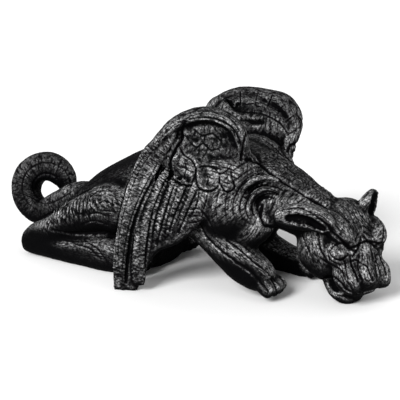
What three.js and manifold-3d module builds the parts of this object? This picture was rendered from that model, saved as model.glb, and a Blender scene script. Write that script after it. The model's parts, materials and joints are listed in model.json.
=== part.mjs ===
// A crouching winged panther, carved as one solid block of dark stone.
// Millimetres, +Z up, +X towards the head, -Y the animal's right side.
// The origin lies on the ground, at the centre of the figure's footprint.

import * as THREE from 'three';
import { mergeVertices } from 'three/addons/utils/BufferGeometryUtils.js';
import Module from 'manifold-3d';

// Driving sizes, in millimetres.
const LENGTH = 600; // tail curl to brow
const WING_BLADE = 15; // thickness of a folded wing's blade
const WING_RIM = 20; // width of the rolled rim round the top of a wing
const FEATHER_WIDTH = 27; // width of a long flight feather, which each feather takes a share of
const FEATHER_RISE = 7; // height of a feather's shaft above the blade
const COVERT_LENGTH = 34; // length of one short feather in the row above the long ones
const TAIL_WIDTH = 43; // thickness of the tail where it curls
const CURL_RADIUS = 32; // middle of the tail's curl to its centre line
const MANE_WIDTH = 54; // width of the raised mane band along the neck
const MANE_RISE = 15; // height of the mane band above the neck
const FOLD_WIDTH = 11; // width of a skin fold round the neck
const EAR_WALL = 5; // wall left round an ear's hollow
const TOE_WIDTH = 17; // width of a toe
const EYE_WIDTH = 14; // width of an eyeball between the lids

// Pose and proportions are drawn on a grid of this many steps along the figure.
const GRID = 580;
const STEP = LENGTH / GRID;

const UP = new THREE.Vector3(0, 0, 1);

const wasm = await Module();
wasm.setup();

const toSolid = (geometry) => {
  const source = geometry.clone();
  source.deleteAttribute('normal');
  source.deleteAttribute('uv');
  const welded = mergeVertices(source, 1e-4);
  return new wasm.Manifold(new wasm.Mesh({
    numProp: 3,
    vertProperties: Float32Array.from(welded.attributes.position.array),
    triVerts: Uint32Array.from(welded.index.array),
  }));
};

// A rounded limb along a smooth path. Each station is [x, y, z, half width, half height] in grid
// steps. `up` is the side the height is measured towards, `taper` how pointed the two ends are
// (1 is a plain round end, less is blunter) and `square` how square the section is (2 is an
// ellipse).
function limb(stations, options = {}) {
  const { up = UP, around = 10, along = 8, taper = 0.42, square = 2.3 } = options;
  const path = new THREE.CatmullRomCurve3(
    stations.map(([x, y, z]) => new THREE.Vector3(x, y, z).multiplyScalar(STEP)),
  );
  const girth = new THREE.CatmullRomCurve3(
    stations.map(([, , , w, h]) => new THREE.Vector3(w, h ?? w, 0).multiplyScalar(STEP)),
  );
  const source = new THREE.SphereGeometry(1, around, along);
  source.deleteAttribute('normal');
  source.deleteAttribute('uv');
  const geometry = mergeVertices(source, 1e-4);
  const vertices = geometry.attributes.position;
  const top = new THREE.Vector3();
  const side = new THREE.Vector3();
  const push = (value, exponent) => Math.sign(value) * Math.abs(value) ** exponent;
  for (let i = 0; i < vertices.count; i++) {
    const along01 = THREE.MathUtils.clamp((1 - vertices.getY(i)) / 2, 0, 1);
    const ring = Math.hypot(vertices.getX(i), vertices.getZ(i));
    const centre = path.getPoint(along01);
    const size = girth.getPoint(along01);
    const tangent = path.getTangent(THREE.MathUtils.clamp(along01, 0.002, 0.998));
    side.crossVectors(tangent, up).normalize();
    top.crossVectors(side, tangent).normalize();
    const full = ring > 1e-6 ? ring ** taper : 0;
    const cos = ring > 1e-6 ? vertices.getX(i) / ring : 0;
    const sin = ring > 1e-6 ? -vertices.getZ(i) / ring : 0;
    centre.addScaledVector(side, size.x * full * push(cos, 2 / square));
    centre.addScaledVector(top, size.y * full * push(sin, 2 / square));
    vertices.setXYZ(i, centre.x, centre.y, centre.z);
  }
  return toSolid(geometry);
}

// The same stations on the animal's other side.
const mirrored = (stations) => stations.map(([x, y, ...rest]) => [x, -y, ...rest]);

// Grid steps of a driving size, for use inside a station.
const steps = (size) => size / STEP;

// Head axes: the muzzle points down to the ground and turns towards the animal's right.
const HEAD_CENTRE = new THREE.Vector3(208, 1, 80);
const HEAD_PITCH = THREE.MathUtils.degToRad(60);
const HEAD_YAW = THREE.MathUtils.degToRad(20);
const headTurn = new THREE.Matrix4()
  .makeRotationZ(-HEAD_YAW)
  .multiply(new THREE.Matrix4().makeRotationY(HEAD_PITCH));
const headUp = new THREE.Vector3(0, 0, 1).applyMatrix4(headTurn);
const headForward = new THREE.Vector3(1, 0, 0).applyMatrix4(headTurn);

// Stations given in head axes: forward to the muzzle, left, up out of the brow.
const onHead = (stations) => stations.map(([f, l, u, ...size]) => {
  const p = new THREE.Vector3(f, l, u).applyMatrix4(headTurn).add(HEAD_CENTRE);
  return [p.x, p.y, p.z, ...size];
});

const solids = [];
const cuts = [];

// Trunk: rump, loins, ribs, shoulders and the chest's front.
solids.push(limb([
  [-206, 0, 71, 24, 19], [-178, 0, 69, 40, 34], [-130, 0, 83, 48, 48], [-80, 0, 98, 50, 57],
  [-20, 0, 120, 54, 60], [35, 0, 128, 62, 62], [85, 0, 124, 62, 58], [118, -2, 114, 50, 44],
], { around: 14, along: 11 }));

// Belly, lying on the ground between the hind legs.
solids.push(limb([
  [-176, 0, 38, 44, 42], [-120, 0, 40, 54, 48], [-46, 0, 34, 58, 44],
], { around: 10, along: 6, taper: 0.2, square: 3 }));

// Neck, sinking from the shoulders to the head.
solids.push(limb([
  [60, 0, 134, 58, 48], [108, -3, 127, 52, 39], [150, -6, 111, 46, 34], [192, -6, 90, 41, 32],
], { around: 12, along: 7 }));

// Mane: a raised band from between the wings to the crown.
const maneHalf = steps(MANE_WIDTH) / 2;
const maneRise = steps(MANE_RISE);
const mane = [
  [46, 2, 188, 0.8], [104, -2, 172, 1], [142, -4, 152, 1], [180, -2, 132, 0.9], [214, -4, 110, 0.7],
];
solids.push(limb(
  mane.map(([x, y, top, share]) => [x, y, top - maneRise, maneHalf * share, maneRise]),
  { around: 8, along: 8, taper: 0.3, square: 3 },
));

// Skull and muzzle.
solids.push(limb(onHead([
  [-44, 0, -16, 34, 25], [-18, 2, -3, 47, 34], [14, 2, 0, 46, 34], [40, 2, 0, 38, 30],
  [62, 0, 3, 32, 27], [79, -1, 2, 26, 23],
]), { up: headUp, around: 12, along: 10, square: 2.6 }));
// Bridge of the nose and the nose pad.
solids.push(limb(onHead([
  [12, 4, 27, 12, 9], [32, -2, 28, 10, 8], [52, -8, 28, 12, 9], [72, -4, 25, 14, 9],
]), { up: headUp, around: 8, along: 7 }));
// Lower jaw and chin.
solids.push(limb(onHead([
  [34, -3, -25, 30, 14], [62, -5, -20, 28, 12], [84, -3, -12, 18, 10],
]), { up: headUp, around: 10, along: 6 }));
// Brows, the near one long and slanting, the far one bulging out past the cheek.
solids.push(limb(onHead([
  [-30, -36, 20, 14, 10], [-6, -29, 28, 16, 10], [16, -14, 30, 11, 8],
]), { up: headUp, around: 10, along: 6 }));
solids.push(limb(onHead([
  [20, 12, 31, 11, 8], [14, 29, 28, 14, 12], [4, 39, 20, 13, 12], [-13, 41, 12, 12, 12],
]), { up: headUp, around: 10, along: 6 }));
// Whisker pads.
solids.push(limb(onHead([
  [34, -30, 12, 12, 12], [54, -30, 14, 15, 13], [74, -20, 12, 13, 12],
]), { up: headUp, around: 10, along: 6 }));
solids.push(limb(onHead([
  [42, 24, 16, 13, 12], [58, 26, 15, 14, 13], [78, 25, 12, 14, 12],
]), { up: headUp, around: 10, along: 6 }));
for (const left of [-1, 1]) {
  // Cheek, eye socket and eye on each side of the face.
  solids.push(limb(onHead([
    [-22, 36 * left, -12, 15, 23], [10, 38 * left, -15, 15, 27], [46, 32 * left, -12, 13, 17],
  ]), { up: headUp, around: 8, along: 5 }));
  solids.push(limb(onHead([
    [10, 34 * left, 14, 12, 12], [36, 34 * left, 14, 12, 10],
  ]), { up: headUp, around: 8, along: 5 }));
  const eye = steps(EYE_WIDTH) / 2;
  solids.push(limb(onHead([
    [25 - eye, 32 * left, 21, eye], [25, 32 * left, 22, eye], [25 + eye, 32 * left, 21, eye],
  ]), { up: headUp, around: 6, along: 4, taper: 1 }));
}

// Near ear, long and laid back along the neck, with a narrow hollow that opens outwards.
const nearEar = [
  [216, -40, 101, 15, 14], [194, -54, 114, 16, 17], [170, -62, 114, 14, 16], [149, -64, 110, 11, 13],
];
const earWall = steps(EAR_WALL);
solids.push(limb(nearEar, { around: 10, along: 7 }));
cuts.push(limb(nearEar.slice(0, 3).map(([x, y, z, w, h]) => [
  x + 0.2 * w - 6, y - 0.95 * w, z, 0.8 * (w - earWall), 0.5 * (h - earWall),
]), { around: 8, along: 5 }));

// Far ear, short, rounded and pricked.
const farEar = [[220, 34, 97, 18, 12], [227, 38, 118, 18, 11], [234, 45, 132, 13, 9]];
solids.push(limb(farEar, { up: headForward, around: 10, along: 6 }));
cuts.push(limb(farEar.map(([x, y, z, w, h]) => [
  x + 10, y + 1, z + 5, w - earWall, h - earWall / 2,
]), { up: headForward, around: 6, along: 4 }));

// Corner of the open mouth, a hollow on each side of the jaw.
for (const left of [-1, 1]) {
  cuts.push(limb(onHead([
    [44, 41 * left, -13, 9, 7], [58, 31 * left, -7, 9, 8], [70, 24 * left, -1, 6, 5],
  ]), { up: headUp, around: 6, along: 4 }));
}

// Skin folds curling round the throat, each a partial ring that faces outwards.
const foldHalf = steps(FOLD_WIDTH) / 2;
for (const radius of [26, 43]) {
  const stations = [];
  for (let i = 0; i <= 6; i++) {
    const angle = THREE.MathUtils.degToRad(70 + i * 24);
    stations.push([
      136 + radius * Math.cos(angle),
      -48 - radius * 0.28 + 4 * Math.cos(angle),
      118 + radius * Math.sin(angle) * 0.9,
      foldHalf,
    ]);
  }
  solids.push(limb(stations, { up: new THREE.Vector3(0.2, -1, 0.1), around: 6, along: 8 }));
}

// Near foreleg: shoulder blade to elbow, the muscle in front, then the forearm down to the paw.
const nearOut = new THREE.Vector3(0, -1, 0);
solids.push(limb([
  [102, -46, 134, 32, 26], [78, -58, 114, 38, 30], [44, -62, 84, 28, 22],
], { along: 7, up: nearOut }));
solids.push(limb([
  [116, -42, 110, 25, 18], [110, -52, 92, 26, 20], [90, -58, 70, 22, 20],
], { along: 6, up: nearOut }));
solids.push(limb([
  [28, -60, 84, 22, 20], [66, -60, 65, 22, 24], [100, -59, 42, 21, 26], [124, -58, 29, 22, 23],
  [140, -55, 19, 20, 18],
], { taper: 0.3 }));

// Far foreleg: the elbow is on the ground and the forearm lies flat.
const farOut = new THREE.Vector3(0, 1, 0);
solids.push(limb([
  [92, 44, 134, 34, 26], [66, 54, 98, 36, 28], [46, 58, 56, 30, 23],
], { along: 7, up: farOut }));
solids.push(limb([
  [102, 38, 102, 22, 18], [80, 48, 74, 19, 20], [62, 54, 50, 20, 20],
], { along: 6, up: farOut }));
solids.push(limb([
  [34, 60, 38, 22, 34], [74, 57, 24, 22, 25], [112, 55, 17, 20, 18], [138, 53, 15, 20, 19],
  [148, 51, 12, 18, 14],
], { taper: 0.3 }));

// Hind legs, folded: thigh, shank and the long foot flat on the ground.
const thigh = [[-150, -42, 76, 24, 28], [-110, -48, 82, 29, 34], [-70, -52, 80, 26, 37]];
const shank = [
  [-244, -61, 28, 16, 20], [-204, -61, 41, 18, 18], [-164, -61, 64, 21, 22], [-122, -58, 80, 24, 29],
  [-82, -54, 82, 26, 36],
];
const hindFoot = [
  [-253, -63, 20, 18, 25], [-206, -62, 16, 18, 18], [-150, -64, 16, 18, 18], [-108, -64, 20, 22, 24],
  [-74, -60, 16, 23, 19], [-48, -59, 11, 22, 12],
];
// Uncut stone left between the shank and the foot.
const web = [[-226, -58, 34, 10, 14], [-170, -58, 42, 11, 22], [-110, -54, 50, 14, 30]];
for (const place of [(stations) => stations, mirrored]) {
  solids.push(limb(place(web), { around: 8, along: 5, taper: 0.3 }));
  solids.push(limb(place(thigh), { along: 7 }));
  solids.push(limb(place(shank)));
  solids.push(limb(place(hindFoot), { taper: 0.3 }));
}

// Toes: four on each paw, side by side across its front.
const toeHalf = steps(TOE_WIDTH) / 2;
const paws = [
  { x: 143, y: -55, z: 12, yaw: -0.1 },
  { x: 147, y: 53, z: 8, yaw: 0.05 },
  { x: -56, y: -59, z: 9, yaw: -0.05 },
  { x: -56, y: 59, z: 9, yaw: 0.05 },
];
for (const { x, y, z, yaw } of paws) {
  for (const place of [-1.5, -0.5, 0.5, 1.5]) {
    const spread = place * toeHalf * 1.3;
    const reach = 4 - Math.abs(place) * 3;
    solids.push(limb([
      [x - 18, y + spread * 0.9, z + 9, toeHalf * 0.85, 8],
      [x + reach - 3, y + spread + yaw * 10, z + 6, toeHalf, 9],
      [x + reach + 7, y + spread * 1.05 + yaw * 20, z - 1, toeHalf, 10],
    ], { around: 6, along: 5, taper: 0.5 }));
  }
}

// Tail: out of the rump, down to the ground's side and round in one closed curl.
const tailHalf = steps(TAIL_WIDTH) / 2;
const curl = steps(CURL_RADIUS);
const curlCentre = [-260, 0, 78];
const curlTurn = THREE.MathUtils.degToRad(15);
const tail = [
  [-176, 0, 78, tailHalf * 1.5], [-204, 0, 74, tailHalf * 1.2], [-232, -4, 60, tailHalf],
];
for (let angle = -95; angle >= -400; angle -= 34) {
  const a = THREE.MathUtils.degToRad(angle);
  const out = curl * (1 - 0.17 * Math.max(0, Math.cos(a)) + 0.12 * Math.max(0, -Math.sin(a)));
  tail.push([
    curlCentre[0] + out * Math.cos(a) * Math.cos(curlTurn),
    curlCentre[1] + out * Math.cos(a) * Math.sin(curlTurn) - 5 + (-95 - angle) * 0.06,
    curlCentre[2] + out * Math.sin(a),
    tailHalf * (1 + (angle + 95) * 0.0005 + 0.1 * Math.sin(a)),
  ]);
}
solids.push(limb(tail, { around: 10, along: 21, square: 2.8, up: new THREE.Vector3(0.1, -1, 0.05) }));

// Wings: folded upright along the flanks, the tips of the longest feathers on the ground.
const wingOut = new THREE.Vector3(0.3, -1, 0.22);
const rimHalf = steps(WING_RIM) / 2;
const bladeHalf = steps(WING_BLADE) / 2;
const featherHalf = steps(FEATHER_WIDTH) / 2;
const rise = bladeHalf / 2 + steps(FEATHER_RISE) / 2;
const rimPath = [
  [102, -48, 154], [99, -58, 190], [96, -69, 217], [79, -81, 232], [55, -89, 234], [26, -95, 222],
  [5, -101, 201], [-12, -107, 178],
];
// The far wing's rim stands further back in front.
const farRimPath = [[100, -48, 154], [95, -58, 190], [95, -69, 218], [81, -81, 235], ...rimPath.slice(4)];
const rolled = (points) => points.map((point, i) => [
  ...point, rimHalf * (1 - 0.04 * Math.abs(i - 3)), rimHalf,
]);
// Blade stations end in the blade's half width at each.
const blade = [
  [60, -80, 231, 28], [57, -78, 218, 44], [54, -72, 198, 53], [46, -76, 176, 56], [38, -82, 154, 60],
  [20, -90, 128, 50], [2, -101, 98, 44], [-18, -111, 69, 30], [-28, -117, 36, 21], [-34, -121, -4, 15],
];
// The blade's topmost station is narrower on the far wing, to stay under its rolled rim.
const farBlade = [[58, -80, 229, 16], ...blade.slice(1)];
// Feather stations end in the share of the feather's width at each.
const longFeathers = [
  [[20, -96, 211, 0.85], [-6, -106, 176, 1.25], [-19, -114, 139, 1.2], [-29, -120, 103, 1.05],
    [-37, -124, 69, 0.9], [-42, -126, 36, 0.85], [-45, -125, -6, 0.8]],
  [[15, -98, 164, 0.4], [1, -106, 130, 0.7], [-9, -112, 100, 0.75], [-14, -117, 70, 0.85],
    [-17, -120, 39, 0.85], [-17, -121, 9, 0.8]],
  [[24, -93, 155, 0.4], [16, -99, 126, 0.6], [9, -105, 97, 0.6], [5, -110, 69, 0.55]],
  [[33, -89, 150, 0.45], [24, -96, 116, 0.6], [18, -104, 75, 0.45]],
  [[46, -83, 146, 0.45], [37, -90, 114, 0.6], [30, -97, 84, 0.45]],
  [[58, -77, 142, 0.45], [51, -83, 112, 0.6], [45, -90, 86, 0.45]],
];
const covert = steps(COVERT_LENGTH) / 2;
const covertRow = [[35, -88, 164], [56, -79, 158], [78, -68, 155], [97, -56, 155]];
const shoulder = [[102, -40, 138, 26, 36], [72, -50, 152, 34, 38], [34, -56, 150, 30, 34]];

// The far wing is opened further back than the near one, and its back edge is lifted.
const SPREAD_BACK = 0.42;
const openBack = (stations) => stations.map(([x, y, z, w, h]) => {
  const lift = THREE.MathUtils.smoothstep(z, 60, 200);
  const back = SPREAD_BACK * lift;
  const raise = lift * (0.0029 * (104 - x) ** 2 - 14.5);
  return [x + 18 * lift ** 4 - 6 - back * (104 - x), y, z + raise, w * (1 + back * 0.45), h];
});
// Blade filled in under the far wing's back corner.
const farCorner = [[60, -82, 222, 14], [34, -91, 209, 17], [14, -98, 188, 18], [2, -104, 164, 16]];
const wings = [
  { place: (stations) => stations, out: wingOut, rim: rimPath, edge: blade, thickness: bladeHalf },
  {
    place: (stations) => mirrored(openBack(stations)),
    out: wingOut.clone().multiply(new THREE.Vector3(1, -1, 1)),
    rim: farRimPath,
    edge: farBlade,
    thickness: bladeHalf * 1.4,
  },
];
for (const { place, out, rim, edge, thickness } of wings) {
  solids.push(limb(place(shoulder), { along: 7 }));
  solids.push(limb(
    place(edge.map((station) => [...station, thickness])),
    { up: out, around: 8, along: 11, taper: 0.3, square: 3 },
  ));
  solids.push(limb(place(rolled(rim)), { up: out, around: 8, along: 12 }));
  if (edge === farBlade) {
    const stations = farCorner.map((station) => [...station, thickness]);
    solids.push(limb(place(stations), { up: out, around: 8, along: 5, taper: 0.3, square: 3 }));
  }
  longFeathers.forEach((feather, i) => {
    const stations = feather.map(([x, y, z, share]) => [x, y, z, featherHalf * share, rise]);
    solids.push(limb(place(stations), { up: out, around: 6, along: i < 2 ? 8 : 5, taper: 0.3, square: 1.8 }));
  });
  for (const [x, y, z] of covertRow) {
    solids.push(limb(place([
      [x + 5, y + 6, z + covert, 14, rise * 0.7], [x, y + 2, z, 16, rise * 0.8],
      [x - 5, y, z - covert, 13, rise * 0.8],
    ]), { up: out, around: 6, along: 4, taper: 0.6 }));
  }
}

let figure = solids[0];
for (const solid of solids.slice(1)) {
  figure = figure.add(solid);
}
// A pocket closed in between two forms is solid stone, so only the outer skins are kept.
const skins = figure.decompose().filter((body) => body.volume() > 0);
figure = skins.slice(1).reduce((all, body) => all.add(body), skins[0]);
for (const cut of cuts) {
  figure = figure.subtract(cut);
}

// Everything that touches the ground is cut flat there.
const ground = new THREE.BoxGeometry(LENGTH * 2, LENGTH * 2, LENGTH).translate(0, 0, LENGTH / 2);
figure = figure.intersect(toSolid(ground));

const { vertProperties, triVerts } = figure.getMesh();
const geometry = new THREE.BufferGeometry();
geometry.setAttribute('position', new THREE.BufferAttribute(vertProperties, 3));
geometry.setIndex(new THREE.BufferAttribute(triVerts, 1));
geometry.computeBoundingBox();
const middle = geometry.boundingBox.getCenter(new THREE.Vector3());
geometry.translate(-middle.x, -middle.y, 0);
geometry.computeVertexNormals();

const stone = new THREE.MeshStandardMaterial({ color: 0x161617, roughness: 0.62, metalness: 0 });
const gargoyle = new THREE.Mesh(geometry, stone);
gargoyle.name = 'gargoyle';

const part = new THREE.Group();
part.add(gargoyle);

export default part;
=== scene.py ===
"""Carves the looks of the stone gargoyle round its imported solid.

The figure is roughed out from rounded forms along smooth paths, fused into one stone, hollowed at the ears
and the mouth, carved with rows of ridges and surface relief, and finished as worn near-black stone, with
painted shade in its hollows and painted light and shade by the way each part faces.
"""

import json
import math

import bmesh
import bpy
import numpy as np
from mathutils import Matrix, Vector
from mathutils.bvhtree import BVHTree

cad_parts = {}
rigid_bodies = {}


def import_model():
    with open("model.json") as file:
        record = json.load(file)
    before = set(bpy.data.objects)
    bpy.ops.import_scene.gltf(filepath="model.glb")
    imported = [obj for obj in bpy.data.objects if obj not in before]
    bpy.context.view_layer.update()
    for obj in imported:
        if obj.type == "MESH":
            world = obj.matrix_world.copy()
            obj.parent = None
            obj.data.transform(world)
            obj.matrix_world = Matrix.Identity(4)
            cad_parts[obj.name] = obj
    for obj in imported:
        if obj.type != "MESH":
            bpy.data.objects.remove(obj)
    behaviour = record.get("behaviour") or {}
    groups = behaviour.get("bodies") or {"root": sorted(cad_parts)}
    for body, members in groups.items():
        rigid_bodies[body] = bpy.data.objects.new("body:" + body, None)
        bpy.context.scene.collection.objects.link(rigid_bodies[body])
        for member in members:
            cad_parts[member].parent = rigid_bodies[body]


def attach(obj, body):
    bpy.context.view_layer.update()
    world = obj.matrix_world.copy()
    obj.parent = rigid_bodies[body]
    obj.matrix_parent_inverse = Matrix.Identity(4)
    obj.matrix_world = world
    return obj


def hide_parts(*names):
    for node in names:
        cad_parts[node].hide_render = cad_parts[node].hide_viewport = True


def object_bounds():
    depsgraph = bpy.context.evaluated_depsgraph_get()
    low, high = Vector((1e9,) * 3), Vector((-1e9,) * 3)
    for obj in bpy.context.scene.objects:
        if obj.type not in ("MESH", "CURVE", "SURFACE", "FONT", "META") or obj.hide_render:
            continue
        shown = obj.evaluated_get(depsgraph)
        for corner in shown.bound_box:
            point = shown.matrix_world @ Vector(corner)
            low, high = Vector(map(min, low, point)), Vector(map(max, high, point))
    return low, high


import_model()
CAD_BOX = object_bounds()

bl_info = {
    "name": "Stone Gargoyle",
    "version": (1, 0, 0),
    "blender": (4, 5, 0),
    "location": "3D View > Sidebar > Gargoyle",
    "description": "Carves a crouching winged panther in dark stone and sets it on a pale floor",
    "category": "Object",
}

# The figure is 0.6 m long from the tail's curl to the brow, and is drawn on a grid of steps, as the solid is.
LENGTH = 0.600
GRID = 580
STEP = LENGTH / GRID
UP = (0.0, 0.0, 1.0)

FIGURE = "gargoyle_stone"
STONE = "worn_black_stone"
# Points measured at once, which keeps the memory small.
BATCH = 40000


def mm(length):
    """Grid steps of a length given in millimetres."""
    return length * 0.001 / STEP


def unit(vector):
    vector = np.asarray(vector, float)
    return vector / np.linalg.norm(vector, axis=-1, keepdims=True)


def smoothstep(low, high, value):
    t = np.clip((value - low) / (high - low), 0.0, 1.0)
    return t * t * (3 - 2 * t)


def spline(points, t):
    """A smooth curve through the points (n, k) at the shares t, passing each of them."""
    p = np.asarray(points, float)
    p = np.vstack([2 * p[0] - p[1], p, 2 * p[-1] - p[-2]])
    spans = len(p) - 3
    place = np.clip(t, 0, 1) * spans
    i = np.minimum(place.astype(int), spans - 1)
    s = (place - i)[:, None]
    p0, p1, p2, p3 = p[i], p[i + 1], p[i + 2], p[i + 3]

    def gap(a, b):
        return np.sqrt(np.linalg.norm(b - a, axis=1))[:, None]

    d1 = gap(p1, p2)
    d1 = np.where(d1 < 1e-4, 1.0, d1)
    d0 = gap(p0, p1)
    d0 = np.where(d0 < 1e-4, d1, d0)
    d2 = gap(p2, p3)
    d2 = np.where(d2 < 1e-4, d1, d2)
    m1 = ((p1 - p0) / d0 - (p2 - p0) / (d0 + d1) + (p2 - p1) / d1) * d1
    m2 = ((p2 - p1) / d1 - (p3 - p1) / (d1 + d2) + (p3 - p2) / d2) * d1
    return (
        p1 + m1 * s + (3 * (p2 - p1) - 2 * m1 - m2) * s ** 2 + (2 * (p1 - p2) + m1 + m2) * s ** 3
    )


class Form:
    """One rounded form along a smooth path.

    Each station is (x, y, z, half width, half height) in grid steps. `up` is the side the height is measured
    towards, `taper` how pointed the ends are and `square` how square the section is.
    """

    def __init__(self, kind, stations, up=UP, taper=0.42, square=2.3, around=40, along=44):
        self.kind = kind
        self.points = np.array([s[:3] for s in stations], float)
        self.sizes = np.array([(s[3], s[4] if len(s) > 4 else s[3]) for s in stations], float)
        self.up = np.asarray(up, float)
        self.taper = taper
        self.square = square
        self.around = around
        self.along = along

    def frames(self, t):
        """Centre, sideways and upward axes, tangent and half sizes at the shares t."""
        t = np.asarray(t, float)
        inner = np.clip(t, 0.002, 0.998)
        tangent = unit(spline(self.points, inner + 1e-3) - spline(self.points, inner - 1e-3))
        side = unit(np.cross(tangent, self.up))
        top = np.cross(side, tangent)
        return spline(self.points, t), side, top, tangent, spline(self.sizes, t)

    def shell(self):
        """Vertices and faces of the closed form."""
        theta = np.linspace(0, math.pi, self.along + 1)[1:-1]
        phi = np.arange(self.around) / self.around * 2 * math.pi
        centre, side, top, _, size = self.frames((1 - np.cos(theta)) / 2)
        full = np.sin(theta)[:, None] ** self.taper

        def push(value):
            return np.sign(value) * np.abs(value) ** (2 / self.square)

        across = (size[:, :1] * full * push(np.cos(phi)))[..., None] * side[:, None]
        over = (size[:, 1:] * full * push(np.sin(phi)))[..., None] * top[:, None]
        rings = centre[:, None] + across + over
        ends = self.frames(np.array([0.0, 1.0]))[0]
        vertices = np.vstack([rings.reshape(-1, 3), ends])
        rows, n = len(theta), self.around
        first, last = rows * n, rows * n + 1
        faces = []
        for j in range(n):
            k = (j + 1) % n
            faces.append((first, j, k))
            faces.append((last, (rows - 1) * n + k, (rows - 1) * n + j))
            for i in range(rows - 1):
                faces.append((i * n + j, (i + 1) * n + j, (i + 1) * n + k, i * n + k))
        return vertices, faces

    def place(self, points):
        """Where points lie on the form: their indices and, for those, the way along it, the shares across and
        over it, and the distance from its axis as a share of its surface's."""
        t = np.linspace(0, 1, 90)
        centre, side, top, tangent, size = self.frames(t)
        way = np.concatenate([[0], np.cumsum(np.linalg.norm(np.diff(centre, axis=0), axis=1))])
        margin = size.max() * 1.5
        low, high = centre.min(0) - margin, centre.max(0) + margin
        found = np.flatnonzero(((points > low) & (points < high)).all(1))
        nearest = np.zeros(len(found), int)
        for start in range(0, len(found), BATCH):
            part = points[found[start:start + BATCH]]
            gaps = ((part[:, None] - centre[None]) ** 2).sum(2)
            nearest[start:start + BATCH] = gaps.argmin(1)
        rel = points[found] - centre[nearest]
        along = way[nearest] + (rel * tangent[nearest]).sum(1)
        across = (rel * side[nearest]).sum(1) / size[nearest, 0]
        over = (rel * top[nearest]).sum(1) / size[nearest, 1]
        radius = (np.abs(across) ** self.square + np.abs(over) ** self.square) ** (1 / self.square)
        past_ends = (along <= -2) | (along >= way[-1] + 2)
        radius[past_ends] = 9.0
        return found, along, across, over, radius


def other_side(stations):
    """The same stations on the animal's other side."""
    return [(x, -y, *rest) for x, y, *rest in stations]


# Head axes: the muzzle points down to the ground and turns towards the animal's right.
HEAD_CENTRE = np.array([208.0, 1.0, 80.0])
HEAD_PITCH = math.radians(60)
HEAD_YAW = math.radians(20)
# How far the face's middle line lies to the left of its axis. Lines on the far side mirror about it.
HEAD_MIDDLE = 1.0


def head_turn():
    cp, sp, cy, sy = math.cos(HEAD_PITCH), math.sin(HEAD_PITCH), math.cos(-HEAD_YAW), math.sin(-HEAD_YAW)
    pitch = np.array([[cp, 0, sp], [0, 1, 0], [-sp, 0, cp]])
    yaw = np.array([[cy, -sy, 0], [sy, cy, 0], [0, 0, 1]])
    return yaw @ pitch


HEAD_TURN = head_turn()
HEAD_FORWARD = HEAD_TURN[:, 0]
HEAD_UP = HEAD_TURN[:, 2]


def on_head(stations):
    """Stations given in head axes: forward to the muzzle, left, up out of the brow."""
    return [(*(HEAD_TURN @ np.array(s[:3], float) + HEAD_CENTRE), *s[3:]) for s in stations]


def trunk_forms():
    mane = [(46, 2, 188, 0.8), (104, -2, 172, 1), (142, -4, 152, 1), (180, -2, 132, 0.9), (214, -4, 110, 0.7)]
    half, rise = mm(54) / 2, mm(15)
    return [
        Form("trunk", [
            (-206, 0, 71, 24, 19), (-178, 0, 69, 40, 34), (-130, 0, 83, 48, 48), (-80, 0, 98, 50, 57),
            (-20, 0, 120, 54, 60), (35, 0, 128, 62, 62), (85, 0, 124, 62, 58), (118, -2, 114, 50, 44),
        ], around=64, along=64),
        Form(
            "belly", [(-176, 0, 38, 44, 42), (-120, 0, 40, 54, 48), (-46, 0, 34, 58, 44)], taper=0.2, square=3
        ),
        Form("neck", [
            (60, 0, 134, 58, 48), (108, -3, 127, 52, 39), (150, -6, 111, 46, 34), (192, -6, 90, 41, 32),
        ], around=56),
        Form(
            "mane", [(x, y, top - rise, half * share, rise) for x, y, top, share in mane], taper=0.3, square=3
        ),
    ]


def head_forms():
    forms = [
        Form("skull", on_head([
            (-44, 0, -16, 34, 25), (-18, 2, -3, 47, 34), (14, 2, 0, 46, 34), (40, 2, 0, 38, 30),
            (62, 0, 3, 32, 27), (79, -1, 2, 26, 23),
        ]), HEAD_UP, square=2.6, around=56, along=56),
        Form("bridge", on_head([
            (12, 4, 27, 12, 9), (32, -2, 28, 10, 8), (52, -8, 28, 12, 9), (72, -4, 25, 14, 9),
        ]), HEAD_UP),
        Form("jaw", on_head([(34, -3, -25, 30, 14), (62, -5, -20, 28, 12), (84, -3, -12, 18, 10)]), HEAD_UP),
        Form("brow", on_head([(-30, -36, 20, 14, 10), (-6, -29, 28, 16, 10), (16, -14, 30, 11, 8)]), HEAD_UP),
        Form("brow", on_head([
            (20, 12, 31, 11, 8), (14, 29, 28, 14, 12), (4, 39, 20, 13, 12), (-13, 41, 12, 12, 12),
        ]), HEAD_UP),
        Form("pad", on_head([(34, -30, 12, 12, 12), (54, -30, 14, 15, 13), (74, -20, 12, 13, 12)]), HEAD_UP),
        Form("pad", on_head([(42, 24, 16, 13, 12), (58, 26, 15, 14, 13), (78, 25, 12, 14, 12)]), HEAD_UP),
    ]
    for left in (-1, 1):
        forms += [
            Form("cheek", on_head([
                (-22, 36 * left, -12, 15, 23), (10, 38 * left, -15, 15, 27), (46, 32 * left, -12, 13, 17),
            ]), HEAD_UP),
            Form("socket", on_head([(10, 34 * left, 14, 12, 12), (36, 34 * left, 14, 12, 10)]), HEAD_UP),
            Form("eye", on_head([
                (18, 32 * left, 21, 7.5), (25, 32 * left, 22, 7.5), (32, 32 * left, 21, 7.5),
            ]), HEAD_UP, taper=1, around=24, along=20),
        ]
    return forms


NEAR_EAR = [
    (216, -40, 101, 15, 14), (194, -54, 114, 16, 17), (170, -62, 114, 14, 16), (149, -64, 110, 11, 13),
]
FAR_EAR = [(220, 34, 97, 18, 12), (227, 38, 118, 18, 11), (234, 45, 132, 13, 9)]
EAR_WALL = mm(5)


def ear_forms():
    return [Form("ear", NEAR_EAR), Form("ear", FAR_EAR, HEAD_FORWARD)]


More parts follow.
